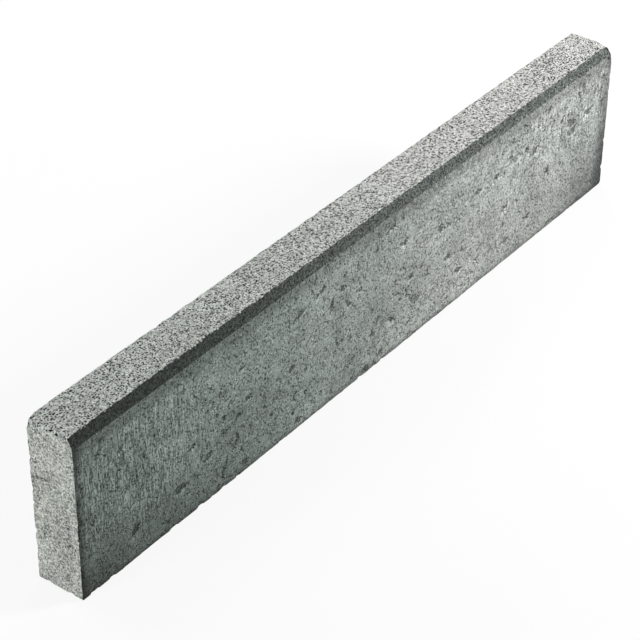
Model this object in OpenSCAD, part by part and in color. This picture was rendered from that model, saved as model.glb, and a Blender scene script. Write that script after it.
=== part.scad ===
// Concrete edging kerb stone, pressed in one piece.
// A slim upright block with a chamfer on the long top edge of its show face.
// X runs along the kerb line, the show face looks to -Y and the bed lies on Z = 0.

/* [Block] */
// Length along the kerb line, mm
stone_length = 1000; // [250:10:1500]
// Thickness from the show face to the back face, mm
stone_width = 60; // [40:1:200]
// Height from the bed to the top, mm
stone_height = 200; // [100:5:400]

/* [Chamfer] */
// How far the chamfer cuts back over the top, mm
chamfer_run = 6; // [3:0.5:25]
// How far the chamfer drops down the show face, mm
chamfer_drop = 12; // [4:0.5:40]

/* [Arrises] */
// Radius where the chamfer turns into the top, mm
chamfer_top_round = 2.5; // [0.5:0.25:5]
// Radius where the chamfer turns into the show face, mm
chamfer_face_round = 4; // [0.5:0.25:8]
// Radius of the long top arris at the back, mm
back_round = 1.5; // [0.5:0.25:8]
// Radius of the top arris at both ends, where the pressing tool rubs it round, mm
end_round = 5; // [1:0.5:20]
// Radius of the four upright arrises, mm
upright_round = 1.5; // [0.5:0.25:8]

/* [Hidden] */
$fn = 64;

half_length = stone_length / 2;
half_width = stone_width / 2;

// Where the chamfer leaves the top, and where it meets the show face
chamfer_top_y = chamfer_run - half_width;
chamfer_face_z = stone_height - chamfer_drop;

// What rounding takes off one convex corner, in the plane of that corner:
// a kite over the corner, less the circle that touches both of its edges.
// Both edges are given as directions that lead away from the corner.
module arris_cutter(corner, first_edge, second_edge, radius) {
    first = first_edge / norm(first_edge);
    second = second_edge / norm(second_edge);
    inward = (first + second) / norm(first + second);
    half_angle = acos(first * inward);
    reach = radius / tan(half_angle);
    centre = corner + inward * radius / sin(half_angle);
    difference() {
        polygon([
            corner + first * reach,
            centre,
            corner + second * reach,
            corner - inward * radius
        ]);
        translate(centre) circle(r = radius);
    }
}

// The pressed section, with Y to the right and Z up
module section() {
    difference() {
        polygon([
            [-half_width, 0],
            [half_width, 0],
            [half_width, stone_height],
            [chamfer_top_y, stone_height],
            [-half_width, chamfer_face_z]
        ]);
        arris_cutter([half_width, stone_height], [-1, 0], [0, -1], back_round);
        arris_cutter([chamfer_top_y, stone_height], [1, 0], [-chamfer_run, -chamfer_drop], chamfer_top_round);
        arris_cutter([-half_width, chamfer_face_z], [0, -1], [chamfer_run, chamfer_drop], chamfer_face_round);
    }
}

// The rounding of the top arris at both ends, cut clear through the width
module end_arris_cutters() {
    rotate([90, 0, 0])
    linear_extrude(height = 2 * stone_width, center = true)
    for (side = [-1, 1])
        arris_cutter([side * half_length, stone_height], [-side, 0], [0, -1], end_round);
}

// The rounding of the four upright arrises, cut clear through bed and top
module upright_arris_cutters() {
    translate([0, 0, stone_height / 2])
    linear_extrude(height = 2 * stone_height, center = true)
    for (end = [-1, 1], face = [-1, 1])
        arris_cutter([end * half_length, face * half_width], [-end, 0], [0, -face], upright_round);
}

// One block of pressed concrete, greenish grey
module kerb_stone() {
    color("#a3a8a2")
    difference() {
        rotate([90, 0, 90])
        linear_extrude(height = stone_length, center = true) section();
        end_arris_cutters();
        upright_arris_cutters();
    }
}

kerb_stone();
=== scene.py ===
# %% [markdown]
# A pressed concrete edging kerb.
# The object is one block of stiff, earth-damp concrete that was shaken and pressed in a steel mould and
# pushed out of it straight away. That leaves three kinds of surface: an open, grainy top, two long faces
# that were dragged along the mould's walls, and a dense, dark chamfer that the pressing tool ironed smooth.
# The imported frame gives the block's place and size. The stone is worked out from it in millimetres, and the
# camera, the lamps and the floor are placed in metres.

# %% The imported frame
import math
from itertools import product

import bpy
import numpy as np
from mathutils import Matrix, Vector


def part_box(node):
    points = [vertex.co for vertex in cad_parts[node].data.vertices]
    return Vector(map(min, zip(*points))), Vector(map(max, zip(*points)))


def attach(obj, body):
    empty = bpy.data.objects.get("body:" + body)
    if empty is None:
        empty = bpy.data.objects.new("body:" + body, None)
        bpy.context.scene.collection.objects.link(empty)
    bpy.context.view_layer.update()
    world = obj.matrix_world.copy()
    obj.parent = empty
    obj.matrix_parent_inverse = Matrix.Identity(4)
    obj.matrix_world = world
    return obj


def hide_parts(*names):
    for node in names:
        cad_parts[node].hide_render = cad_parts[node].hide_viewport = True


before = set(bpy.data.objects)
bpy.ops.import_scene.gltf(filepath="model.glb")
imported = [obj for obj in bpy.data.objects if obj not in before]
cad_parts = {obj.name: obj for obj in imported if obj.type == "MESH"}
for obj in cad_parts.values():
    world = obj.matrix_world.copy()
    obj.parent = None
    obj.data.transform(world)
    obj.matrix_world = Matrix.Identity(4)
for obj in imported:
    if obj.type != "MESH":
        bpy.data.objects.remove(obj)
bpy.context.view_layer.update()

MM = 0.001
low_corner, high_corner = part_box("kerb_stone")
LENGTH, WIDTH, HEIGHT = (high_corner - low_corner) / MM
print(f"block of {LENGTH:.0f} x {WIDTH:.0f} x {HEIGHT:.0f} mm")

# %% [markdown]
# The camera stands to the left of the show face and looks down along the kerb with a long lens.
# Its place comes from fitting a pinhole camera to the nine corners that the photograph shows. The
# photograph itself was cropped off-centre, which a lens shift could copy, but a shift would push the
# stone out of the middle of every other view, so the best camera without one is used.

# %% Camera
CAMERA_PLACE = Vector((-1.613, -1.128, 1.416))
CAMERA_AIM = Vector((-0.071, 0.0, 0.087))
CAMERA_ROLL = math.radians(0.65)
CAMERA_LENS = 119.0
SENSOR_WIDTH = 36.0

camera_data = bpy.data.cameras.new("camera")
camera_data.lens = CAMERA_LENS
camera_data.sensor_width = SENSOR_WIDTH
camera_data.sensor_fit = "HORIZONTAL"
camera = bpy.data.objects.new("camera", camera_data)
looking = (CAMERA_AIM - CAMERA_PLACE).to_track_quat("-Z", "Y").to_matrix().to_4x4()
camera.matrix_world = Matrix.Translation(CAMERA_PLACE) @ looking @ Matrix.Rotation(CAMERA_ROLL, 4, "Z")
bpy.context.scene.collection.objects.link(camera)
bpy.context.scene.camera = camera
print(f"camera {(CAMERA_AIM - CAMERA_PLACE).length:.2f} m from its aim")

# %% [markdown]
# Three small helpers serve every material. One turns an sRGB hex colour, as a colour picker shows it, into
# the linear numbers that a shader works with. One adds a node: its settings are plain keyword arguments,
# and its inputs are given by name or number, each a value or another node's output. One starts a material.

# %% Helpers for materials
def linear(hex_colour):
    """Linear RGBA of an sRGB hex colour: the straight part below 0.04045, the 2.4 power curve above it."""
    srgb = np.array([int(hex_colour[i:i + 2], 16) for i in (1, 3, 5)]) / 255
    rgb = np.where(srgb <= 0.04045, srgb / 12.92, ((srgb + 0.055) / 1.055) ** 2.4)
    return (*rgb.tolist(), 1.0)


def add_node(tree, kind, inputs=None, **settings):
    """Adds one node of the given kind, sets its properties, and fills or links its inputs."""
    node = tree.nodes.new(kind)
    for name, value in settings.items():
        setattr(node, name, value)
    for name, value in (inputs or {}).items():
        if isinstance(value, bpy.types.NodeSocket):
            tree.links.new(value, node.inputs[name])
        else:
            node.inputs[name].default_value = value
    return node


def new_material(name):
    """An empty node material and its tree."""
    material = bpy.data.materials.new(name)
    material.use_nodes = True
    material.node_tree.nodes.clear()
    return material, material.node_tree


print(f"the sRGB grey #808080 is {linear('#808080')[0]:.3f} in a shader")

# %% [markdown]
# The light is that of a small studio. A broad lamp behind and above rakes the top, and one on the left
# lights the end. A smaller one stands in front and far to the right, above the show face: it falls on the
# face at a slant, so that hollows show, and it leaves the near end darker than the far one. A wide, soft one
# behind keeps the back readable from other sides. A picture of a sky could light the stone too, but with
# lamps each side can be set by itself.

# %% Studio light
WORLD_GLOW = 0.14


def add_lamp(name, place, aim, size, watts):
    """One square area lamp, pointed at a place, that lights the scene without showing itself."""
    data = bpy.data.lights.new(name, "AREA")
    data.size = size
    data.energy = watts
    lamp = bpy.data.objects.new(name, data)
    turn = (Vector(aim) - Vector(place)).to_track_quat("-Z", "Y").to_matrix().to_4x4()
    lamp.matrix_world = Matrix.Translation(place) @ turn
    lamp.visible_camera = False
    bpy.context.scene.collection.objects.link(lamp)


def seen_rays(tree):
    """1 for rays that see a thing, straight or in a mirror or through glass, 0 for those that light it."""
    path = add_node(tree, "ShaderNodeLightPath")
    seen = path.outputs["Is Camera Ray"]
    for ray in ("Is Glossy Ray", "Is Transmission Ray"):
        seen = add_node(tree, "ShaderNodeMath", {0: seen, 1: path.outputs[ray]},
                        operation="MAXIMUM").outputs[0]
    return seen


add_lamp("top_lamp", place=(1.0, 0.9, 1.6), aim=(0.2, 0.0, 0.2), size=0.9, watts=12.3)
add_lamp("face_lamp", place=(1.1, -1.2, 1.0), aim=(0.2, 0.0, 0.1), size=0.5, watts=37)
add_lamp("end_lamp", place=(-2.0, 0.2, 0.42), aim=(-0.5, 0.0, 0.1), size=0.9, watts=21.5)
add_lamp("back_lamp", place=(-0.3, 2.2, 0.8), aim=(0.0, 0.0, 0.1), size=1.2, watts=25)

scene = bpy.context.scene
scene.world = bpy.data.worlds.new("studio")
scene.world.use_nodes = True
world_tree = scene.world.node_tree
world_tree.nodes.clear()
seen = seen_rays(world_tree)
glow = add_node(world_tree, "ShaderNodeMapRange", {"Value": seen, "To Min": WORLD_GLOW, "To Max": 1.0})
sky = add_node(world_tree, "ShaderNodeBackground", {"Color": (1, 1, 1, 1), "Strength": glow.outputs[0]})
add_node(world_tree, "ShaderNodeOutputWorld", {"Surface": sky.outputs[0]})
scene.view_settings.view_transform = "Standard"

# %% [markdown]
# The floor is a pale table top. Seen by the camera it is part white paint and part steady glow, so that it
# is white around the stone and still takes the stone's shadow. The light that it throws back on the stone
# is that of a mid grey, because a white one would wash out the foot of the show face.

# %% Floor
FLOOR_HALF = 8.0
FLOOR_GLOW_SHARE = 0.86


def pale_table():
    """Matt paint, grey to the stone, and to the camera white and topped up by a steady glow."""
    material, tree = new_material("pale_table_paint")
    seen = seen_rays(tree)
    colour = add_node(tree, "ShaderNodeMix", {0: seen, 6: linear("#909090"), 7: linear("#f4f4f4")},
                      data_type="RGBA")
    paint = add_node(tree, "ShaderNodeBsdfDiffuse", {"Color": colour.outputs[2]})
    own_glow = add_node(tree, "ShaderNodeEmission", {"Color": (1, 1, 1, 1), "Strength": 1.0})
    share = add_node(tree, "ShaderNodeMath", {0: seen, 1: FLOOR_GLOW_SHARE}, operation="MULTIPLY")
    both = add_node(tree, "ShaderNodeMixShader", {
        0: share.outputs[0], 1: paint.outputs[0], 2: own_glow.outputs[0]})
    add_node(tree, "ShaderNodeOutputMaterial", {"Surface": both.outputs[0]})
    return material


floor_mesh = bpy.data.meshes.new("floor")
floor_corners = [(x * FLOOR_HALF, y * FLOOR_HALF, 0) for x, y in ((-1, -1), (1, -1), (1, 1), (-1, 1))]
floor_mesh.from_pydata(floor_corners, [], [(0, 1, 2, 3)])
floor_mesh.materials.append(pale_table())
floor = bpy.data.objects.new("floor", floor_mesh)
scene.collection.objects.link(floor)
print(f"floor {2 * FLOOR_HALF:.0f} m wide")

# %% [markdown]
# The section is the shape of the mould: a tall rectangle with one top corner cut back by the chamfer.
# No corner of concrete is a true edge, so each one is an arc. An arc could be left to a bevel, but here
# the outline itself carries it, because the relief later needs rows of points along each arris.
# The section is drawn with Y across and Z up, and it is made for any height of its top, because the top
# comes down where it rolls over the stone's ends. Its arrises are named as on a body: foot, knee, brow, nape
# and heel, from the bed up the show face, over chamfer and top, and down the back. The back gets as many
# steps as the show face, so that the ends can be closed by an even grid.

# %% Section of the block
CHAMFER_RUN, CHAMFER_DROP = 6.0, 12.0
CHAMFER_TOP_ROUND, CHAMFER_FACE_ROUND, BACK_ROUND, BED_ROUND = 2.5, 4.0, 1.5, 0.8
FACE_ROWS, CHAMFER_ROWS, TOP_ROWS = 72, 5, 22
FOOT_STEPS, KNEE_STEPS, BROW_STEPS, NAPE_STEPS = 2, 2, 3, 3
KNEE_START = FOOT_STEPS + FACE_ROWS
BROW_START = KNEE_START + KNEE_STEPS + CHAMFER_ROWS
SIDE = BROW_START + BROW_STEPS
BACK_ROWS = SIDE - NAPE_STEPS - FOOT_STEPS


def corner_arc(corner, before, after, radius, steps):
    """Points of the arc that rounds a corner, from the edge to before over to the edge to after.

    The circle touches both edges, so its centre lies on their bisector, radius / sin(half angle) from the
    corner. The points are the centre plus a spoke that turns evenly from one touching point to the other.
    """
    first = (before - corner) / np.linalg.norm(before - corner)
    second = (after - corner) / np.linalg.norm(after - corner)
    inward = (first + second) / np.linalg.norm(first + second)
    half = math.acos(first @ inward)
    centre = corner + inward * radius / math.sin(half)
    start = corner + first * radius / math.tan(half) - centre
    end = corner + second * radius / math.tan(half) - centre
    turn = math.acos(start @ end / radius ** 2)
    t = np.linspace(0, 1, steps + 1)[:, None]
    return centre + (np.sin((1 - t) * turn) * start + np.sin(t * turn) * end) / math.sin(turn)


def joined(*runs):
    """Runs of points, each starting where the last one ended, as one run without the doubled points."""
    return np.vstack([runs[0]] + [run[1:] for run in runs[1:]])


def section_ring(lowered=0.0):
    """The closed outline with its top lowered: up the show face, over chamfer and top, down the back, home.

    Lowering the top shortens the chamfer from above, so its lower edge stays where it is.
    """
    height = HEIGHT - lowered
    drop = CHAMFER_DROP - lowered
    bed_front = np.array([-WIDTH / 2, 0.0])
    knee_corner = np.array([-WIDTH / 2, height - drop])
    brow_corner = np.array([CHAMFER_RUN * drop / CHAMFER_DROP - WIDTH / 2, height])
    top_back = np.array([WIDTH / 2, height])
    bed_back = np.array([WIDTH / 2, 0.0])
    foot = corner_arc(bed_front, bed_back, knee_corner, BED_ROUND, FOOT_STEPS)
    knee = corner_arc(knee_corner, bed_front, brow_corner, CHAMFER_FACE_ROUND, KNEE_STEPS)
    brow = corner_arc(brow_corner, knee_corner, top_back, CHAMFER_TOP_ROUND, BROW_STEPS)
    nape = corner_arc(top_back, brow_corner, bed_back, BACK_ROUND, NAPE_STEPS)
    heel = corner_arc(bed_back, top_back, bed_front, BED_ROUND, FOOT_STEPS)
    face = np.linspace(foot[-1], knee[0], FACE_ROWS + 1)
    chamfer = np.linspace(knee[-1], brow[0], CHAMFER_ROWS + 1)
    top = np.linspace(brow[-1], nape[0], TOP_ROWS + 1)
    back = np.linspace(nape[-1], heel[0], BACK_ROWS + 1)
    bed = np.linspace(heel[-1], foot[0], TOP_ROWS + 1)
    return joined(foot, face, knee, chamfer, brow, top, nape, back, heel, bed)[:-1]


full_ring = section_ring()
RING = len(full_ring)
print(f"section of {RING} points, {SIDE} of them up the show face")

# %% [markdown]
# The skin is this section carried along the length. At both ends the top arris is rubbed well round and
# the upright arrises only a little. A bevel would give them all one radius, so instead the last few sections
# follow quarter circles whose radius depends on the height of the point: the sections shrink while they
# move out to the end's plane.

# %% Section carried along the length
END_ROUND, UPRIGHT_ROUND = 5.0, 1.5
END_STEPS, LENGTH_STEPS = 4, 412
ROLL_OVER = 12.0

quarter = np.linspace(math.pi / 2, 0, END_STEPS + 1)[:-1]
phase = np.concatenate([quarter, np.zeros(LENGTH_STEPS + 1), quarter[::-1]])
along = np.concatenate([-np.ones(END_STEPS), np.linspace(-1, 1, LENGTH_STEPS + 1), np.ones(END_STEPS)])
STATIONS = len(along)


def carried_skin():
    """Points of the skin before any relief, as stations along X by points of the ring.

    A station at angle a of the quarter circle has its top lowered and its sides drawn in by r (1 - cos a),
    and lies r (1 - sin a) inside the end's plane. Between the quarter circles a is 0.
    """
    shrink = 1 - np.cos(phase)
    rings = np.stack([section_ring(END_ROUND * s) for s in shrink])
    y = rings[..., 0] * (1 - UPRIGHT_ROUND * shrink / (WIDTH / 2))[:, None]
    z = rings[..., 1] + BED_ROUND * shrink[:, None] * (1 - rings[..., 1] / HEIGHT)
    radius = np.interp(full_ring[:, 1], [0, ROLL_OVER, HEIGHT - ROLL_OVER, HEIGHT],
                       [BED_ROUND, UPRIGHT_ROUND, UPRIGHT_ROUND, END_ROUND])
    x = along[:, None] * (LENGTH / 2 - radius * (1 - np.sin(phase))[:, None])
    return np.stack([x, y, z], axis=-1)


skin = carried_skin()
print(f"skin of {STATIONS} stations by {RING} points")

# %% [markdown]
# Each end is closed by a sheet stretched between the four sides of its rim. A fan of triangles to one
# middle point would close it too, but relief needs even cells. So the sheet is a Coons patch, which blends
# the two upright sides with the top and the bed and takes the shared corners off once.

# %% End faces
def rim_sides(rim):
    """The four sides of a rim: up the show face, over the top, up the back, under the bed from the front."""
    left = rim[:SIDE + 1]
    upper = rim[SIDE:SIDE + TOP_ROWS + 1]
    right = rim[SIDE + TOP_ROWS:2 * SIDE + TOP_ROWS + 1][::-1]
    lower = np.concatenate([rim[2 * SIDE + TOP_ROWS:], rim[:1]])[::-1]
    return left, upper, right, lower


def end_patch(rim):
    """Coons patch over one end: rows from bed to top, columns from show face to back.

    Point = blend of left and right side + blend of lower and upper side - blend of the four corners.
    """
    left, upper, right, lower = rim_sides(rim)
    u = np.linspace(0, 1, TOP_ROWS + 1)[None, :, None]
    v = np.linspace(0, 1, SIDE + 1)[:, None, None]
    across = (1 - u) * left[:, None] + u * right[:, None]
    upright = (1 - v) * lower[None] + v * upper[None]
    corners = (1 - v) * ((1 - u) * left[0] + u * right[0]) + v * ((1 - u) * left[-1] + u * right[-1])
    return across + upright - corners


def patch_numbers(first_on_rim, first_inside):
    """Vertex numbers of one end's grid: the rim's own vertices around, new ones inside."""
    numbers = np.empty((SIDE + 1, TOP_ROWS + 1), int)
    inside = np.arange((SIDE - 1) * (TOP_ROWS - 1)).reshape(SIDE - 1, TOP_ROWS - 1)
    numbers[1:-1, 1:-1] = first_inside + inside
    left, upper, right, lower = rim_sides(first_on_rim + np.arange(RING))
    numbers[:, 0], numbers[:, -1], numbers[0], numbers[-1] = left, right, lower, upper
    return numbers


patches = [end_patch(skin[0]), end_patch(skin[-1])]
points = np.vstack([skin.reshape(-1, 3)] + [patch[1:-1, 1:-1].reshape(-1, 3) for patch in patches])
near_numbers = patch_numbers(0, STATIONS * RING)
far_numbers = patch_numbers((STATIONS - 1) * RING, STATIONS * RING + (SIDE - 1) * (TOP_ROWS - 1))
print(f"{len(points)} points with both ends")

# %% [markdown]
# Faces follow from the vertex numbers alone: each cell of the unrolled skin and of the two ends is one face
# with four corners. Seen from outside, the far end's grid runs the other way round, so it is turned.

# %% Faces
def cell_corners(grid):
    """The four corners of each cell of a grid, in the order that makes the skin's faces look outwards."""
    corners = np.stack([grid[:-1, :-1], grid[1:, :-1], grid[1:, 1:], grid[:-1, 1:]], axis=2)
    return corners.reshape(-1, 4, *grid.shape[2:])


ring_numbers = np.arange(STATIONS * RING).reshape(STATIONS, RING)
closed_numbers = np.column_stack([ring_numbers, ring_numbers[:, 0]])
near_quads = cell_corners(near_numbers)
far_quads = cell_corners(far_numbers)[:, ::-1]
quads = np.vstack([cell_corners(closed_numbers), near_quads, far_quads])
print(f"{len(quads)} faces")

# %% [markdown]
# Each face gets the number of the finish it wears. The finishes meet at the arrises of the section. Along
# both arrises of the chamfer they are shuffled station by station, because there the concrete breaks away in
# single grains. The lower arris is clean at the near end and breaks more and more towards the far one.

# %% Finishes of the faces
FACE, CHAMFER, TOP, BACK, BED, END = range(6)
NAPE_ON_TOP = 1

finish_widths = {
    FACE: FOOT_STEPS + FACE_ROWS,
    CHAMFER: KNEE_STEPS + CHAMFER_ROWS + BROW_STEPS,
    TOP: TOP_ROWS + NAPE_ON_TOP,
    BACK: NAPE_STEPS - NAPE_ON_TOP + BACK_ROWS + FOOT_STEPS,
    BED: TOP_ROWS,
}
ring_finish = np.repeat(list(finish_widths), list(finish_widths.values()))
skin_finish = np.tile(ring_finish, (STATIONS - 1, 1))
brow_columns = BROW_START + np.arange(BROW_STEPS)
brow_chance = np.random.default_rng(12).random((STATIONS - 1, 1))
brow_break = BROW_START + BROW_STEPS * np.sqrt(brow_chance)
skin_finish[:, brow_columns] = np.where(brow_columns < brow_break, CHAMFER, TOP)
knee_columns = KNEE_START + np.arange(KNEE_STEPS + 1)
knee_chance = np.random.default_rng(15).random((STATIONS - 1, 1))
knee_reach = np.linspace(0, KNEE_STEPS + 1, STATIONS - 1)[:, None]
knee_break = KNEE_START + knee_reach * knee_chance ** 2
skin_finish[:, knee_columns] = np.where(knee_columns < knee_break, FACE, CHAMFER)
finish = np.concatenate([skin_finish.ravel(), np.full(2 * SIDE * TOP_ROWS, END)])
mesh = bpy.data.meshes.new("kerb_stone_surface")
mesh.from_pydata((points * MM).tolist(), [], quads.tolist())
mesh.polygons.foreach_set("material_index", finish.astype(np.int32))
mesh.polygons.foreach_set("use_smooth", np.ones(len(quads), bool))
mesh.update()
print(f"{2 * len(quads)} triangles")

# %% [markdown]
# To bake its finishes into one square picture, the stone needs a flat layout.
# Blender could unwrap it, but a rough skin falls into scraps that way. Unrolled by its own grid it is one
# clean strip, with the two ends laid on their sides above it.

# %% Flat layout for baking
STRIP_TOP = 0.865
END_LOW, END_TOP = 0.88, 0.995
END_STARTS, END_SPAN = (0.005, 0.505), 0.485
EDGE_ROOM = 0.004


def share_of_way(run):
    """How far along a run of points each point lies, from 0 to 1 of the run's length."""
    steps = np.linalg.norm(np.diff(run, axis=0), axis=1)
    return np.concatenate([[0], np.cumsum(steps)]) / steps.sum()


way_along = share_of_way(skin[:, SIDE])
way_round = share_of_way(np.vstack([full_ring, full_ring[:1]]))
strip = np.stack(np.meshgrid(
    EDGE_ROOM + (1 - 2 * EDGE_ROOM) * way_along, EDGE_ROOM + STRIP_TOP * way_round, indexing="ij"), axis=-1)
laid_ends = [
    np.stack([start + END_SPAN * patch[..., 2] / HEIGHT,
              END_LOW + (END_TOP - END_LOW) * (patch[..., 1] / WIDTH + 0.5)], axis=-1)
    for start, patch in zip(END_STARTS, patches)
]
layout = np.vstack([cell_corners(strip), cell_corners(laid_ends[0]), cell_corners(laid_ends[1])[:, ::-1]])
uv_map = mesh.uv_layers.new(name="OFBake")
uv_map.data.foreach_set("uv", layout.astype(np.float32).ravel())
print(f"layout of {len(layout)} faces, from {layout.min():.3f} to {layout.max():.3f}")

# %% [markdown]
# Concrete relief is chance on several scales, so it needs smooth noise as an array. Blender's own noise
# could be called point by point, but a lattice of seeded random numbers gives all points at once. The long
# shallow waves that the mould's walls leave are its first use.

# %% Smooth noise and the mould's waves
WAVE_DEPTH, WAVE_SIZE = 0.3, 140.0


def lattice_noise(size, seed):
    """Smooth noise from 0 to 1 at every point of the stone, with hills about `size` mm apart.

    Every point falls in a box of a lattice. The random numbers at the box's eight corners are blended
    along X, Y and Z by the smooth step 3t^2 - 2t^3 of the point's share t of the box.
    """
    cell = points / size
    base = np.floor(cell).astype(int)
    share = cell - base
    share = share * share * (3 - 2 * share)
    base -= base.min(axis=0)
    lattice = np.random.default_rng(seed).random(base.max(axis=0) + 2)
    total = np.zeros(len(points))
    for corner in product((0, 1), repeat=3):
        weight = np.where(corner, share, 1 - share).prod(axis=1)
        total += weight * lattice[tuple((base + corner).T)]
    return total


def smooth_step(value, start, end):
    """0 before start, 1 after end, and the smooth step 3t^2 - 2t^3 between them."""
    t = np.clip((value - start) / (end - start), 0, 1)
    return t * t * (3 - 2 * t)


wave = WAVE_DEPTH * lattice_noise(WAVE_SIZE, seed=1)
print(f"waves up to {wave.max():.2f} mm deep")

# %% [markdown]
# What the relief does at a point depends on where the point lies. Vertex groups painted by hand could say
# that, but the numbers are at hand. The normals tell the top, the ends and the chamfer apart. Distances to
# the planes of the box tell the arrises: at an arris two of the three distances are small, so the second
# smallest is the one that counts.

# %% Where each point lies
CHAMFER_SPREAD, CHAMFER_FULL = 0.2, 1.3

normals = np.empty(len(points) * 3)
mesh.vertex_normals.foreach_get("vector", normals)
normals = normals.reshape(-1, 3)
x, y, z = points.T
upward = np.clip(normals[:, 2], 0, 1)
endward = np.abs(normals[:, 0])
chamfer_tilt = CHAMFER_RUN / math.hypot(CHAMFER_RUN, CHAMFER_DROP)
ironed = np.clip(CHAMFER_FULL - np.abs(normals[:, 2] - chamfer_tilt) / CHAMFER_SPREAD, 0, 1)
ironed = ironed * (y < 0) * (z > HEIGHT / 2)

from_near_end = x + LENGTH / 2
from_face = y + WIDTH / 2
end_gap = LENGTH / 2 - np.abs(x)
face_gap = WIDTH / 2 - np.abs(y)
bed_or_top_gap = np.minimum(z, HEIGHT - z)
second_gap = np.sort(np.column_stack([end_gap, face_gap, bed_or_top_gap]), axis=1)[:, 1]
brow_gap = np.hypot(from_face - CHAMFER_RUN, z - HEIGHT)
arris_gap = np.minimum(second_gap, brow_gap)
print(f"points on the chamfer: {(ironed > 0.5).mean():.1%}, on the top: {(upward > 0.9).mean():.1%}")

# %% [markdown]
# The grain and the lumps of the mix come next, with arrises that crumble a little. All relief only takes
# material away, so the stone stays inside its nominal box. The chamfer was ironed, so it gets the least,
# and the open top and the ends get the most. Arrises crumble less along the bed and at the far end, which
# the photograph shows as calm lines.

# %% Grain and crumbled arrises
GRAIN_DEPTH, GRAIN_SIZE = 0.4, 4.6
GRAIN_TOP_EXTRA, GRAIN_END_EXTRA = 0.3, 0.4
LUMP_DEPTH, LUMP_SIZE = 0.4, 11.0
IRONED_AWAY = 0.8
CRUMBLE_DEPTH, CRUMBLE_SIZE, CRUMBLE_REACH = 0.5, 5.0, 3.0
CRUMBLE_START, CRUMBLE_FULL = 0.4, 0.9
BED_CRUMBLE, BED_ZONE = 0.3, 10.0
FAR_CALM, FAR_ZONE = 0.7, (12.0, 4.0)

grain = GRAIN_DEPTH * lattice_noise(GRAIN_SIZE, seed=2)
grain = grain * (1 + GRAIN_TOP_EXTRA * upward + GRAIN_END_EXTRA * endward)
lump = LUMP_DEPTH * lattice_noise(LUMP_SIZE, seed=3)
crumble = CRUMBLE_DEPTH * smooth_step(lattice_noise(CRUMBLE_SIZE, seed=4), CRUMBLE_START, CRUMBLE_FULL)
crumble = crumble * smooth_step(-arris_gap, -CRUMBLE_REACH, 0) * np.where(z < BED_ZONE, BED_CRUMBLE, 1)
far_calm = 1 - FAR_CALM * smooth_step(x, *(LENGTH / 2 - np.array(FAR_ZONE)))
depth = wave + (grain + lump) * (1 - IRONED_AWAY * ironed) + crumble * far_calm
print(f"relief so far: mean {depth.mean():.2f} mm, deepest {depth.max():.2f} mm")

# %% [markdown]
# The mould also tore the skin in many small ragged hollows, which come in swarms. A round pit could not
# show that. So a hollow opens wherever noise of two sizes adds up to a rare high value, and a third, wide
# noise says where such values are less rare.

# %% Ragged hollows in swarms
TEAR_SIZES, TEAR_SHARES = (8.0, 4.2), (0.55, 0.45)
SWARM_SIZE, SWARM_PULL = 55.0, 0.3
TEAR_START, TEAR_END = 0.70, 0.79
TOP_SPARED, CHAMFER_SPARED = 0.7, 0.9
# TEAR_SHADE: how dark the tears are painted, partly the broken concrete's own colour and partly painted
# shade.
TEAR_DEPTH, TEAR_SHADE = 1.1, 0.55

coarse_tear = TEAR_SHARES[0] * lattice_noise(TEAR_SIZES[0], seed=5)
fine_tear = TEAR_SHARES[1] * lattice_noise(TEAR_SIZES[1], seed=6)
swarm = SWARM_PULL * (lattice_noise(SWARM_SIZE, seed=7) - 0.5)
tear = smooth_step(coarse_tear + fine_tear + swarm, TEAR_START, TEAR_END)
tear = tear * (1 - TOP_SPARED * upward) * (1 - CHAMFER_SPARED * ironed) * far_calm
print(f"hollows over {(tear > 0.5).mean():.1%} of the skin")

# %% [markdown]
# The marks that the eye finds first on the show face and the top are listed one by one, in round millimetres
# from the near bottom corner. Chance could strew them too, but then the stone would be another one. Each has
# a place along and up the face, or along and across the top, then a length, a width and a tilt in degrees.

# %% Scars listed one by one
FACE_SCARS = [
    (65, 148, 11, 6, 35), (82, 35, 12, 6, 25), (150, 43, 24, 9, 12), (172, 86, 16, 6, 5),
    (197, 57, 12, 6, 10), (242, 46, 7, 13, 0), (245, 78, 10, 10, 0), (255, 135, 12, 6, 10),
    (258, 12, 14, 6, 0), (265, 92, 12, 6, 15), (340, 84, 8, 7, 0), (345, 45, 6, 10, 0),
    (348, 9, 12, 8, 10), (354, 147, 22, 11, 15), (390, 157, 18, 5, 25), (410, 128, 22, 6, 80),
    (415, 63, 14, 4, 70), (433, 140, 16, 7, 0), (442, 114, 8, 5, 20), (447, 33, 5, 5, 0),
    (465, 123, 6, 6, 0), (477, 7, 14, 8, 0), (505, 13, 14, 8, 20), (520, 170, 26, 5, 15),
    (525, 47, 9, 14, 70), (548, 138, 16, 10, 0), (560, 85, 8, 6, 0), (622, 121, 14, 11, 0),
    (641, 73, 11, 10, 0), (666, 42, 17, 5, 3), (675, 133, 9, 7, 0), (700, 133, 16, 8, 0),
    (732, 80, 8, 6, 0), (737, 133, 18, 9, 15), (760, 78, 11, 8, 0), (767, 29, 18, 6, 8),
    (792, 75, 8, 6, 0), (802, 140, 10, 6, 0), (819, 42, 9, 8, 0), (825, 129, 20, 9, 8),
    (854, 84, 8, 6, 0), (875, 5, 14, 5, 0), (885, 145, 12, 6, 20), (911, 131, 22, 11, 5),
    (914, 116, 13, 9, 0), (950, 128, 21, 8, 8),
]
TOP_SCARS = [
    (52, 14, 6, 4, 0), (478, 26, 14, 4, -35), (573, 43, 6, 4, 0), (592, 38, 6, 4, 0), (708, 21, 8, 4, 0),
]
print(f"{len(FACE_SCARS)} scars for the show face, {len(TOP_SCARS)} for the top")
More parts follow.
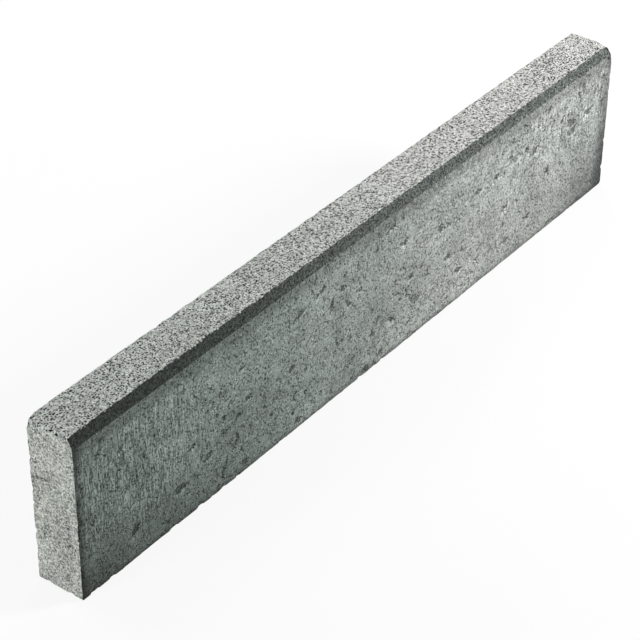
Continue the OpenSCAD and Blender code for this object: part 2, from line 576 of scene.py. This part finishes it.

# %% [markdown]
# Each scar is a ragged oval, and on the show face its points stray a little, so that no two look alike.
# Just below it a pale lip is painted as a highlight, where the lower edge of the hollow would catch the
# light: the same oval set lower, less the scar itself.

# %% Scars pressed in
SCAR_DEPTH_SHARE, LIP_HIGHLIGHT_DROP, SKIN = 0.2, 4.0, 1.0
RAGGED_LEAST, RAGGED_SPAN, RAGGED_SIZE = 0.3, 1.2, 3.6
STRAY_REACH, STRAY_SIZE = 4.5, 6.5

raggedness = RAGGED_LEAST + RAGGED_SPAN * lattice_noise(RAGGED_SIZE, seed=8)
stray_along = STRAY_REACH * (2 * lattice_noise(STRAY_SIZE, seed=13) - 1)
stray_up = STRAY_REACH * (2 * lattice_noise(STRAY_SIZE, seed=14) - 1)
scar = np.zeros(len(points))
lip_highlight = np.zeros(len(points))
scar_depth = np.zeros(len(points))


def press_scar(across, up, on_side, length, width, tilt):
    """Presses one ragged oval into a side, deepest in its middle.

    across and up are the distances of all points from its centre on that side. Turned by the tilt and
    divided by half the length and half the width, they give d^2, and the scar is the square root of
    1 - raggedness x d^2. The painted highlight below it is the same, with its centre lower.
    """
    turn = math.radians(tilt)
    for layer, drop in ((scar, 0.0), (lip_highlight, LIP_HIGHLIGHT_DROP)):
        lower = up + drop
        lengthwise = (across * math.cos(turn) + lower * math.sin(turn)) / (length / 2)
        crosswise = (lower * math.cos(turn) - across * math.sin(turn)) / (width / 2)
        amount = np.sqrt(np.clip(1 - raggedness * (lengthwise ** 2 + crosswise ** 2), 0, 1)) * on_side
        np.maximum(layer, amount, out=layer)
        if layer is scar:
            np.maximum(scar_depth, SCAR_DEPTH_SHARE * width * amount, out=scar_depth)


for scar_x, scar_z, *shape in FACE_SCARS:
    press_scar(from_near_end + stray_along - scar_x, z + stray_up - scar_z, from_face < SKIN, *shape)
for scar_x, scar_y, *shape in TOP_SCARS:
    press_scar(from_near_end - scar_x, from_face - scar_y, HEIGHT - z < SKIN, *shape)
depth = depth + np.maximum(TEAR_DEPTH * tear, scar_depth)
print(f"scars up to {scar_depth.max():.2f} mm deep")

# %% [markdown]
# Chips are small bites out of an arris, from handling. Each is a ball pressed into the edge, strewn by
# seeded chance along the edges of the box, with a few where the photograph shows the near end nicked.
# Two top corners are worn rounder than the rest, so each of them gets one wide, shallow ball. A boolean cut
# would leave sharp rims, so the balls only press the points inwards, like the rest of the relief.

# %% Chips along the arrises
STREWN_CHIPS = 30
CHIP_LEAST, CHIP_MOST, CHIP_SHARE = 2.5, 5.0, 0.5
NICKS = [(14, 0, 0), (22, 0, 0), (0, 16, 0), (0, WIDTH, 96), (0, WIDTH, 61), (0, WIDTH, 40)]
WORN_CORNERS = [((0, WIDTH, HEIGHT), 14.0, 2.8), ((LENGTH, 4, HEIGHT - 2), 20.0, 4.2)]

near_corner = np.array([-LENGTH / 2, -WIDTH / 2, 0])
half_box = np.array([LENGTH, WIDTH, HEIGHT]) / 2


def ball_bite(centre, reach):
    """How deep each point lies in a ball, from 0 to 1: 1 - (distance from the centre / reach)^2."""
    return np.clip(1 - (np.linalg.norm(points - centre, axis=1) / reach) ** 2, 0, 1)


chance = np.random.default_rng(9)
chips = chance.choice([-1.0, 1.0], (STREWN_CHIPS, 3))
chips[np.arange(STREWN_CHIPS), chance.integers(0, 3, STREWN_CHIPS)] = chance.uniform(-1, 1, STREWN_CHIPS)
chips = np.vstack([chips * half_box + [0, 0, HEIGHT / 2], near_corner + NICKS])
for chip, reach in zip(chips, chance.uniform(CHIP_LEAST, CHIP_MOST, len(chips))):
    depth = np.maximum(depth, CHIP_SHARE * reach * ball_bite(chip, reach))
for corner, reach, worn_depth in WORN_CORNERS:
    depth = np.maximum(depth, worn_depth * ball_bite(near_corner + corner, reach))

mesh.vertices.foreach_set("co", ((points - normals * depth[:, None]) * MM).ravel())
mesh.update()
print(f"{len(chips)} chips, deepest relief {depth.max():.2f} mm")

# %% [markdown]
# Where a finish changes over the stone, it follows masks that are kept on the mesh, one number per vertex.
# A shader could work these out from coordinates, but numpy says the same in a line or two each. A wide noise
# lets their edges wander. The first masks follow the length: how strongly the mould dragged the face near
# its ends, a green cast towards the near end, whose darkening is painted shade, a painted pool of light in
# the far half of the face, the share of large pores in the top, which grows towards the far end, and the
# painted shade that darkens the chamfer most at the near end.

# %% Masks along the length
WANDER_SIZE, DRAG_WANDER, EDGE_WANDER = 45.0, 80.0, 60.0
DRAG_NEAR, DRAG_NEAR_FOOT = (110.0, 280.0), (15.0, 70.0)
DRAG_FAR, DRAG_FAR_FOOT, DRAG_FAR_SHARE = (700.0, 860.0), (20.0, 110.0), 0.7
GREEN_CAST_AND_SHADE_REACH = (150.0, 750.0)
POOL_OF_LIGHT_START, POOL_OF_LIGHT_END = (500.0, 680.0), (790.0, 890.0)
COARSE_REACH, COARSE_NEAR, COARSE_FAR = (150.0, 850.0), 0.02, 0.95
NEAR_CHAMFER_SHADE_REACH = (80.0, 680.0)

wander = lattice_noise(WANDER_SIZE, seed=10) - 0.5
drag_along = from_near_end + DRAG_WANDER * wander
along_face = from_near_end + EDGE_WANDER * wander
up_face = z + EDGE_WANDER * wander
near_drag = (1 - smooth_step(drag_along, *DRAG_NEAR)) * smooth_step(up_face, *DRAG_NEAR_FOOT)
far_drag = DRAG_FAR_SHARE * smooth_step(drag_along, *DRAG_FAR) * smooth_step(up_face, *DRAG_FAR_FOOT)
drag = np.maximum(near_drag, far_drag)
# The green cast is the concrete's own colour, and its darkening towards the near end is painted shade.
green_cast_and_shade = 1 - smooth_step(along_face, *GREEN_CAST_AND_SHADE_REACH)
# Painted light: a paler pool in the far half of the face.
pool_of_light = smooth_step(along_face, *POOL_OF_LIGHT_START) * (1 - smooth_step(along_face, *POOL_OF_LIGHT_END))
coarse = COARSE_NEAR + (COARSE_FAR - COARSE_NEAR) * smooth_step(along_face, *COARSE_REACH)
# Painted shade: the chamfer gets darker towards the near end, where less light reaches it.
near_chamfer_shade = 1 - smooth_step(from_near_end, *NEAR_CHAMFER_SHADE_REACH)
print(f"drag on {(drag > 0.5).mean():.0%} of the points, bloom on {(pool_of_light > 0.5).mean():.0%}")

# %% [markdown]
# The other masks follow the edges of the long faces: the darker band below the chamfer, the dark rims along
# the upright arrises, the lower corners, which get darker towards the bottom, and the dark line along the
# foot, which is painted shade. Finer noise frays the band and the rims. All masks are then written to the
# mesh, with the hollows, darkened partly as painted shade, and the pale lips, which are a painted highlight.

# %% Masks along the edges
BAND_FADE, BAND_FRAY, BAND_FRAY_SIZE = (12.0, 18.0), 8.0, 9.0
RIM_REACH, FAR_RIM_REACH = 15.0, 32.0
RIM_FRAY_LEAST, RIM_FRAY_SIZE = 0.5, 20.0
FAR_RIM_FADE, FAR_RIM_RISE = 0.2, (70.0, 160.0)
LOW_DARK_NEAR, LOW_DARK_NEAR_RISE, LOW_DARK_NEAR_WANDER = (20.0, 420.0), (0.0, 130.0), 30.0
LOW_DARK_FAR, LOW_DARK_FAR_RISE, LOW_DARK_FAR_WANDER = (820.0, 985.0), (10.0, 110.0), 40.0
FOOT_SHADE_REACH = (1.0, 10.0)

below_knee = HEIGHT - CHAMFER_DROP - z + BAND_FRAY * (lattice_noise(BAND_FRAY_SIZE, seed=11) - 0.5)
band = 1 - smooth_step(below_knee, *BAND_FADE)
rim_gap = end_gap / (RIM_FRAY_LEAST + lattice_noise(RIM_FRAY_SIZE, seed=12))
rim = 1 - smooth_step(rim_gap, 0, np.where(x < 0, RIM_REACH, FAR_RIM_REACH))
rim = rim * np.where(x < 0, 1, 1 - FAR_RIM_FADE * smooth_step(z, *FAR_RIM_RISE))
near_low = 1 - smooth_step(z + LOW_DARK_NEAR_WANDER * wander, *LOW_DARK_NEAR_RISE)
far_low = 1 - smooth_step(z + LOW_DARK_FAR_WANDER * wander, *LOW_DARK_FAR_RISE)
near_low_corner_dark = (1 - smooth_step(along_face, *LOW_DARK_NEAR)) * near_low
far_low_corner_dark = smooth_step(along_face, *LOW_DARK_FAR) * far_low
masks = {
    # Darkness of tears and scars: partly the broken concrete's own, partly painted shade.
    "hollow_dark_and_shade": np.maximum(TEAR_SHADE * tear, scar),
    "lip_highlight": np.clip(lip_highlight - scar, 0, 1),
    "drag": drag * (1 - band),
    "band": band,
    "rim": rim,
    "low_corner_dark": np.maximum(near_low_corner_dark, far_low_corner_dark),
    "green_cast_and_shade": green_cast_and_shade,
    # Painted shade: a dark line along the foot, where the stone meets the floor.
    "foot": 1 - smooth_step(z, *FOOT_SHADE_REACH),
    "coarse": coarse,
    "near_chamfer_shade": near_chamfer_shade,
    "pool_of_light": pool_of_light,
}
for mask_name, mask in masks.items():
    layer = mesh.attributes.new(mask_name, "FLOAT", "POINT")
    layer.data.foreach_set("value", mask.astype(np.float32))
print(f"masks: {', '.join(masks)}")

# %% [markdown]
# All finishes share one recipe: a base colour times a tone near 1. The tone is a sum of noises on several
# real sizes, from clouds of a hand's width down to the sand. Sand grains are cells, each with a chance tone.
# The finest sand is smaller than a pixel of the render, so it is drawn at about 1.2 to 2 mm.

# %% Tone from noise and sand
NOISE_DETAIL, NOISE_ROUGHNESS = 2.0, 0.55


def noise_tone(tree, place, layers, start=1.0, stretch=1.0):
    """A running sum: start plus, for each layer, strength x (noise - 0.5), with the noise's size in mm.

    A layer is (size, strength). The stretch draws all layers out upwards by that factor.
    """
    total = start - sum(strength for _, strength in layers) / 2
    for size, strength in layers:
        drawn = add_node(tree, "ShaderNodeMapping", {"Vector": place, "Scale": (1, 1, 1 / stretch)})
        noise = add_node(tree, "ShaderNodeTexNoise", {
            "Vector": drawn.outputs[0], "Scale": 1 / (size * MM),
            "Detail": NOISE_DETAIL, "Roughness": NOISE_ROUGHNESS})
        total = add_node(tree, "ShaderNodeMath", {0: noise.outputs[0], 1: strength, 2: total},
                         operation="MULTIPLY_ADD").outputs[0]
    return total


def sand_tone(tree, place, tone, size, strength):
    """The tone plus strength x (chance - 0.5), with one chance value for each grain of `size` mm."""
    grains = add_node(tree, "ShaderNodeTexVoronoi", {"Vector": place, "Scale": 1 / (size * MM)})
    channels = add_node(tree, "ShaderNodeSeparateColor", {0: grains.outputs["Color"]})
    lifted = add_node(tree, "ShaderNodeMath", {0: channels.outputs[0], 1: strength, 2: -strength / 2},
                      operation="MULTIPLY_ADD")
    return add_node(tree, "ShaderNodeMath", {0: lifted.outputs[0], 1: tone}, operation="ADD").outputs[0]


print(f"tone: noise of detail {NOISE_DETAIL:.0f} and sand, sizes in mm")

# %% [markdown]
# Pores and specks are cells too, but only a share of the cells holds one. The cells' centres keep some
# order, because in a well shaken mix the pores lie evenly spread and seldom touch. A mask then darkens the
# tone, which in pores and pits is painted shade, or brightens it where the amount is below 0, as for specks
# of pale sand.

# %% Pores, specks and masks
PORE_SHAKE_RATE, PORE_SHAKE_REACH = 0.6, 1.6
PORE_CORE, PORE_DISORDER = 0.7, 0.7


def pore_mask(tree, place, spacing, radius, share):
    """1 in open pores: in a share of the cells, where the cell's centre is nearer than the radius.

    Spacing and radius are in mm, and the share is a number or a socket. The place is shaken by noise of
    about the radius first, so that a pore is no round dot.
    """
    shake = add_node(tree, "ShaderNodeTexNoise", {
        "Vector": place, "Scale": PORE_SHAKE_RATE / (radius * MM), "Detail": 0.0})
    shaken = add_node(tree, "ShaderNodeVectorMath", {
        0: shake.outputs["Color"], 1: (PORE_SHAKE_REACH * radius * MM,) * 3, 2: place},
        operation="MULTIPLY_ADD")
    cells = add_node(tree, "ShaderNodeTexVoronoi", {
        "Vector": shaken.outputs[0], "Scale": 1 / (spacing * MM), "Randomness": PORE_DISORDER})
    inside = add_node(tree, "ShaderNodeMapRange", {
        "Value": cells.outputs["Distance"], "From Min": PORE_CORE * radius / spacing,
        "From Max": radius / spacing, "To Min": 1.0, "To Max": 0.0})
    channels = add_node(tree, "ShaderNodeSeparateColor", {0: cells.outputs["Color"]})
    opened = add_node(tree, "ShaderNodeMath", {0: channels.outputs[1], 1: share}, operation="LESS_THAN")
    return add_node(tree, "ShaderNodeMath", {0: inside.outputs[0], 1: opened.outputs[0]},
                    operation="MULTIPLY").outputs[0]


def darkened(tree, tone, mask, amount):
    """The tone times (1 - amount x mask), where the mask is a socket or the name of one on the mesh."""
    if isinstance(mask, str):
        mask = add_node(tree, "ShaderNodeAttribute", attribute_name=mask).outputs["Fac"]
    factor = add_node(tree, "ShaderNodeMath", {0: mask, 1: -amount, 2: 1.0}, operation="MULTIPLY_ADD")
    return add_node(tree, "ShaderNodeMath", {0: tone, 1: factor.outputs[0]},
                    operation="MULTIPLY").outputs[0]


print(f"pores: full over {PORE_CORE:.0%} of their radius")

# %% [markdown]
# The inside of a hollow is broken, and thin flakes of the cement skin stand proud in swarms. Both are finer
# than the cells of the mesh, which are about 2.5 mm wide, so they are patterns for bump, and the hollows also
# darken the tone, partly as painted shade.

# %% Broken hollows and flakes
TORN_SIZE, TORN_STRENGTH, TORN_RANGE = 2.4, 6.0, (0.4, 0.7)
FLAKE_LAYERS, FLAKE_RANGE = [(14, 1.0), (70, 0.8)], (1.06, 1.09)


def ragged_hollows(tree, place):
    """The mesh's mask of hollows times noise that breaks it into fragments, cut off between two limits."""
    # This mask darkens the hollows, partly as painted shade.
    soft = add_node(tree, "ShaderNodeAttribute", attribute_name="hollow_dark_and_shade").outputs["Fac"]
    broken = noise_tone(tree, place, [(TORN_SIZE, TORN_STRENGTH)])
    total = add_node(tree, "ShaderNodeMath", {0: soft, 1: broken}, operation="MULTIPLY")
    hard = add_node(tree, "ShaderNodeMapRange", {
        "Value": total.outputs[0], "From Min": TORN_RANGE[0], "From Max": TORN_RANGE[1]})
    return hard.outputs[0]


def flaked_skin(tree, place):
    """1 where flakes of cement skin stand proud: noise of 14 mm in swarms of 70 mm, cut off hard."""
    noise = noise_tone(tree, place, FLAKE_LAYERS)
    cut = add_node(tree, "ShaderNodeMapRange", {
        "Value": noise, "From Min": FLAKE_RANGE[0], "From Max": FLAKE_RANGE[1]})
    return cut.outputs[0]


print(f"hollows broken by noise of {TORN_SIZE} mm, flakes of {FLAKE_LAYERS[0][0]} mm")

# %% [markdown]
# The base colour drifts between two close greys, and a mask can draw it over to a third. Concrete is a
# dielectric with the index of cement and quartz, about 1.5. Its rough grain swallows much of the mirror
# light, so the specular level is half of the usual one.

# %% Colour and shader
CLOUD_DETAIL, CLOUD_RANGE = 3.0, (0.38, 0.62)
CONCRETE_IOR, CONCRETE_SPECULAR = 1.5, 0.25


def two_greys(tree, place, first, second, size):
    """A colour that drifts between two greys over clouds of the given size in mm."""
    cloud = add_node(tree, "ShaderNodeTexNoise", {
        "Vector": place, "Scale": 1 / (size * MM), "Detail": CLOUD_DETAIL})
    share = add_node(tree, "ShaderNodeMapRange", {
        "Value": cloud.outputs[0], "From Min": CLOUD_RANGE[0], "From Max": CLOUD_RANGE[1]})
    mixed = add_node(tree, "ShaderNodeMix", {0: share.outputs[0], 6: linear(first), 7: linear(second)},
                     data_type="RGBA")
    return mixed.outputs[2]


def tinted(tree, colour, mask, hex_colour):
    """The colour drawn over to another one by a mask that is kept on the mesh."""
    amount = add_node(tree, "ShaderNodeAttribute", attribute_name=mask).outputs["Fac"]
    mixed = add_node(tree, "ShaderNodeMix", {0: amount, 6: colour, 7: linear(hex_colour)},
                     data_type="RGBA")
    return mixed.outputs[2]


def finish_concrete(tree, colour, tone, height, roughness, bump_mm):
    """Base colour times tone, with a bump of bump_mm for each 1 of height, on a matt dielectric."""
    shade = add_node(tree, "ShaderNodeVectorMath", {0: colour, "Scale": tone}, operation="SCALE")
    bump = add_node(tree, "ShaderNodeBump", {"Height": height, "Distance": bump_mm * MM})
    shader = add_node(tree, "ShaderNodeBsdfPrincipled", {
        "Base Color": shade.outputs[0], "Normal": bump.outputs[0], "Roughness": roughness,
        "Specular IOR Level": CONCRETE_SPECULAR, "IOR": CONCRETE_IOR})
    add_node(tree, "ShaderNodeOutputMaterial", {"Surface": shader.outputs[0]})


print(f"concrete with an index of {CONCRETE_IOR}")

# %% [markdown]
# The top is the open face mix: pale grains of sand with black pores between them, and no skin of cement.
# The pores are cells of their own, opened by chance, and they are deep enough to throw shadow, so their
# black is painted shadow. Towards the far end the mix is coarser, so small pores give way to large ones
# there.

# %% Open face mix of the top
SMALL_PORES_LOST = 0.7


def open_face_mix():
    """Semi-dry concrete as the press left it: pale grains of 1.4 mm, pores black with painted shadow, no
    cement skin.
    """
    material, tree = new_material("open_face_mix_concrete")
    place = add_node(tree, "ShaderNodeTexCoord").outputs["Object"]
    colour = two_greys(tree, place, "#c4c4c1", "#c6c6c3", size=90)
    # Greener and darker towards the near end: the green is the concrete's own, the darkening painted shade.
    colour = tinted(tree, colour, "green_cast_and_shade", "#bbc0bb")
    tone = noise_tone(tree, place, [(70, 0.4), (1.2, 1.3)])
    tone = sand_tone(tree, place, tone, size=1.4, strength=1.1)
    large_share = add_node(tree, "ShaderNodeAttribute", attribute_name="coarse").outputs["Fac"]
    small_share = add_node(tree, "ShaderNodeMath", {0: large_share, 1: -SMALL_PORES_LOST, 2: 1.0},
                           operation="MULTIPLY_ADD").outputs[0]
    # The black of the pores is painted shadow.
    for spacing, radius, share in ((2.9, 1.2, small_share), (4.0, 1.4, large_share)):
        tone = darkened(tree, tone, pore_mask(tree, place, spacing, radius, share), 1.0)
    # Darker in the hollows: partly the broken concrete's own colour, partly painted shade.
    tone = darkened(tree, tone, "hollow_dark_and_shade", 0.5)
    finish_concrete(tree, colour, tone, height=tone, roughness=0.95, bump_mm=0.8)
    return material


top_concrete = open_face_mix()
print(f"{top_concrete.name}: {len(top_concrete.node_tree.nodes)} nodes")

# %% [markdown]
# The chamfer was ironed by the pressing tool. The cement came to the surface there, so it is dense and even,
# with only a fine dull grain and a few specks of pale sand. Its dark grey is partly that cement's own colour
# and partly painted shade, and painted shade makes it darkest at the near end.

# %% Ironed chamfer
def ironed_chamfer():
    """Dense cement skin: a dark greenish grey that is partly painted shade, fine grain, a few pale specks."""
    material, tree = new_material("ironed_chamfer_concrete")
    place = add_node(tree, "ShaderNodeTexCoord").outputs["Object"]
    # The chamfer's dark grey is partly its dense cement and partly painted shade.
    colour = two_greys(tree, place, "#575c59", "#5b605c", size=60)
    # Painted shade: darker still towards the near end.
    colour = tinted(tree, colour, "near_chamfer_shade", "#303632")
    tone = noise_tone(tree, place, [(25, 0.2), (1.2, 2.4)])
    tone = sand_tone(tree, place, tone, size=1.3, strength=2.2)
    specks = pore_mask(tree, place, spacing=3.0, radius=1.0, share=0.25)
    tone = darkened(tree, tone, specks, -1.1)
    finish_concrete(tree, colour, tone, height=tone, roughness=0.85, bump_mm=0.4)
    return material


chamfer_concrete = ironed_chamfer()
print(f"{chamfer_concrete.name}: {len(chamfer_concrete.node_tree.nodes)} nodes")

# %% [markdown]
# The long faces slid along the steel of the mould while the block was pushed out. They are smeared with
# cement in clouds, specked with pale sand and with dark pits, whose darkness is painted shade, and scored
# by short upright drag lines near the ends. They are paler in the far half, which is a painted pool of light,
# and darker along their rims, in the lower corners and along the foot, where the dark line is painted shade.
# Below each hollow a pale lip is a painted highlight. Flakes and broken hollows are bump, which shows at this
# size as well as a finer mesh would, and the hollows are darkened too, partly as painted shade.

# %% Mould faces
# Specks: spacing, radius, share and darkening; the two dark kinds are pits in painted shade, the last pale
# sand.
FACE_SPECKS = [(7.0, 1.8, 0.4, 0.6), (3.2, 1.0, 0.4, 0.9), (4.1, 1.1, 0.25, -0.6)]
# Of these tones, the pale lip is a painted highlight, the paler far half a painted pool of light, and the
# dark foot line painted shade.
FACE_SHADES = {
    "lip_highlight": -0.35, "drag": -0.08, "pool_of_light": -0.1, "band": 0.3, "rim": 0.74, "low_corner_dark": 0.5, "foot": 0.46,
}
TORN_SHADE, TORN_RISE, FLAKE_RISE = 0.65, -6.0, 3.2
DRAG_STRETCH = 8.0


def mould_face(name):
    """Cement-smeared face: cloudy greenish grey, sandy grain, upright drag lines, dark pits and rims."""
    material, tree = new_material(name)
    place = add_node(tree, "ShaderNodeTexCoord").outputs["Object"]
    colour = two_greys(tree, place, "#a5aaa7", "#a9aca8", size=110)
    # Greener and darker towards the near end: the green is the concrete's own, the darkening painted shade.
    colour = tinted(tree, colour, "green_cast_and_shade", "#8c9790")
    tone = noise_tone(tree, place, [(60, 0.9), (16, 0.6), (6, 0.3), (1.6, 1.3)])
    tone = sand_tone(tree, place, tone, size=1.8, strength=0.6)
    streaks = noise_tone(tree, place, [(1.5, 3.0), (5, 0.5)], start=0.0, stretch=DRAG_STRETCH)
    dragged = add_node(tree, "ShaderNodeAttribute", attribute_name="drag").outputs["Fac"]
    tone = add_node(tree, "ShaderNodeMath", {0: streaks, 1: dragged, 2: tone},
                    operation="MULTIPLY_ADD").outputs[0]
    for spacing, radius, share, amount in FACE_SPECKS:
        tone = darkened(tree, tone, pore_mask(tree, place, spacing, radius, share), amount)
    torn = ragged_hollows(tree, place)
    relief = tone
    for mask, rise in ((torn, TORN_RISE), (flaked_skin(tree, place), FLAKE_RISE)):
        relief = add_node(tree, "ShaderNodeMath", {0: mask, 1: rise, 2: relief},
                          operation="MULTIPLY_ADD").outputs[0]
    # Darker in the hollows: partly the broken concrete's own colour, partly painted shade.
    tone = darkened(tree, tone, torn, TORN_SHADE)
    for mask_name, amount in FACE_SHADES.items():
        tone = darkened(tree, tone, mask_name, amount)
    finish_concrete(tree, colour, tone, height=relief, roughness=0.9, bump_mm=0.5)
    return material


face_concrete = mould_face("mould_face_concrete")
back_concrete = mould_face("mould_back_concrete")
print(f"{face_concrete.name}: {len(face_concrete.node_tree.nodes)} nodes, and as many on the back")

# %% [markdown]
# The ends were cut off from the next block by the mould's end plates. They show the mix itself, paler than
# the long faces, with a fine sandy grain. The bed lay on the pressing board and is the roughest.

# %% Ends and bed
def plate_end():
    """Concrete off an end plate: pale grey, fine sandy grain, small pits dark with painted shade."""
    material, tree = new_material("plate_end_concrete")
    place = add_node(tree, "ShaderNodeTexCoord").outputs["Object"]
    colour = two_greys(tree, place, "#a7aca6", "#abafa9", size=70)
    tone = noise_tone(tree, place, [(45, 1.0), (10, 0.7), (1.6, 2.6)])
    tone = sand_tone(tree, place, tone, size=1.8, strength=1.3)
    tone = darkened(tree, tone, pore_mask(tree, place, spacing=7.0, radius=1.8, share=0.3), 0.5)
    relief = tone
    # Darker in the hollows: partly the broken concrete's own colour, partly painted shade.
    tone = darkened(tree, tone, ragged_hollows(tree, place), 0.45)
    finish_concrete(tree, colour, tone, height=relief, roughness=0.92, bump_mm=0.6)
    return material


def board_bed():
    """Concrete off the pressing board: darker, open and rough."""
    material, tree = new_material("board_bed_concrete")
    place = add_node(tree, "ShaderNodeTexCoord").outputs["Object"]
    colour = two_greys(tree, place, "#8d928d", "#989b95", size=80)
    tone = noise_tone(tree, place, [(60, 0.5), (7, 0.8), (2.6, 1.6)])
    # The pores of the bed are darkened as painted shade.
    tone = darkened(tree, tone, pore_mask(tree, place, spacing=6.0, radius=2.2, share=0.4), 0.6)
    relief = tone
    # Darker in the hollows: partly the broken concrete's own colour, partly painted shade.
    tone = darkened(tree, tone, "hollow_dark_and_shade", 0.4)
    finish_concrete(tree, colour, tone, height=relief, roughness=0.95, bump_mm=0.8)
    return material


end_concrete = plate_end()
bed_concrete = board_bed()
print(f"{end_concrete.name} and {bed_concrete.name} made")

# %% [markdown]
# The finishes go on in the order of the numbers that the faces were given, and the finished skin takes the
# place of the plain packed block.

# %% The finished stone
for material in (face_concrete, chamfer_concrete, top_concrete, back_concrete, bed_concrete, end_concrete):
    mesh.materials.append(material)
stone = bpy.data.objects.new("kerb_stone_surface", mesh)
scene.collection.objects.link(stone)
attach(stone, "root")
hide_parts("kerb_stone")
print(f"finishes: {', '.join(m.name for m in mesh.materials)}")
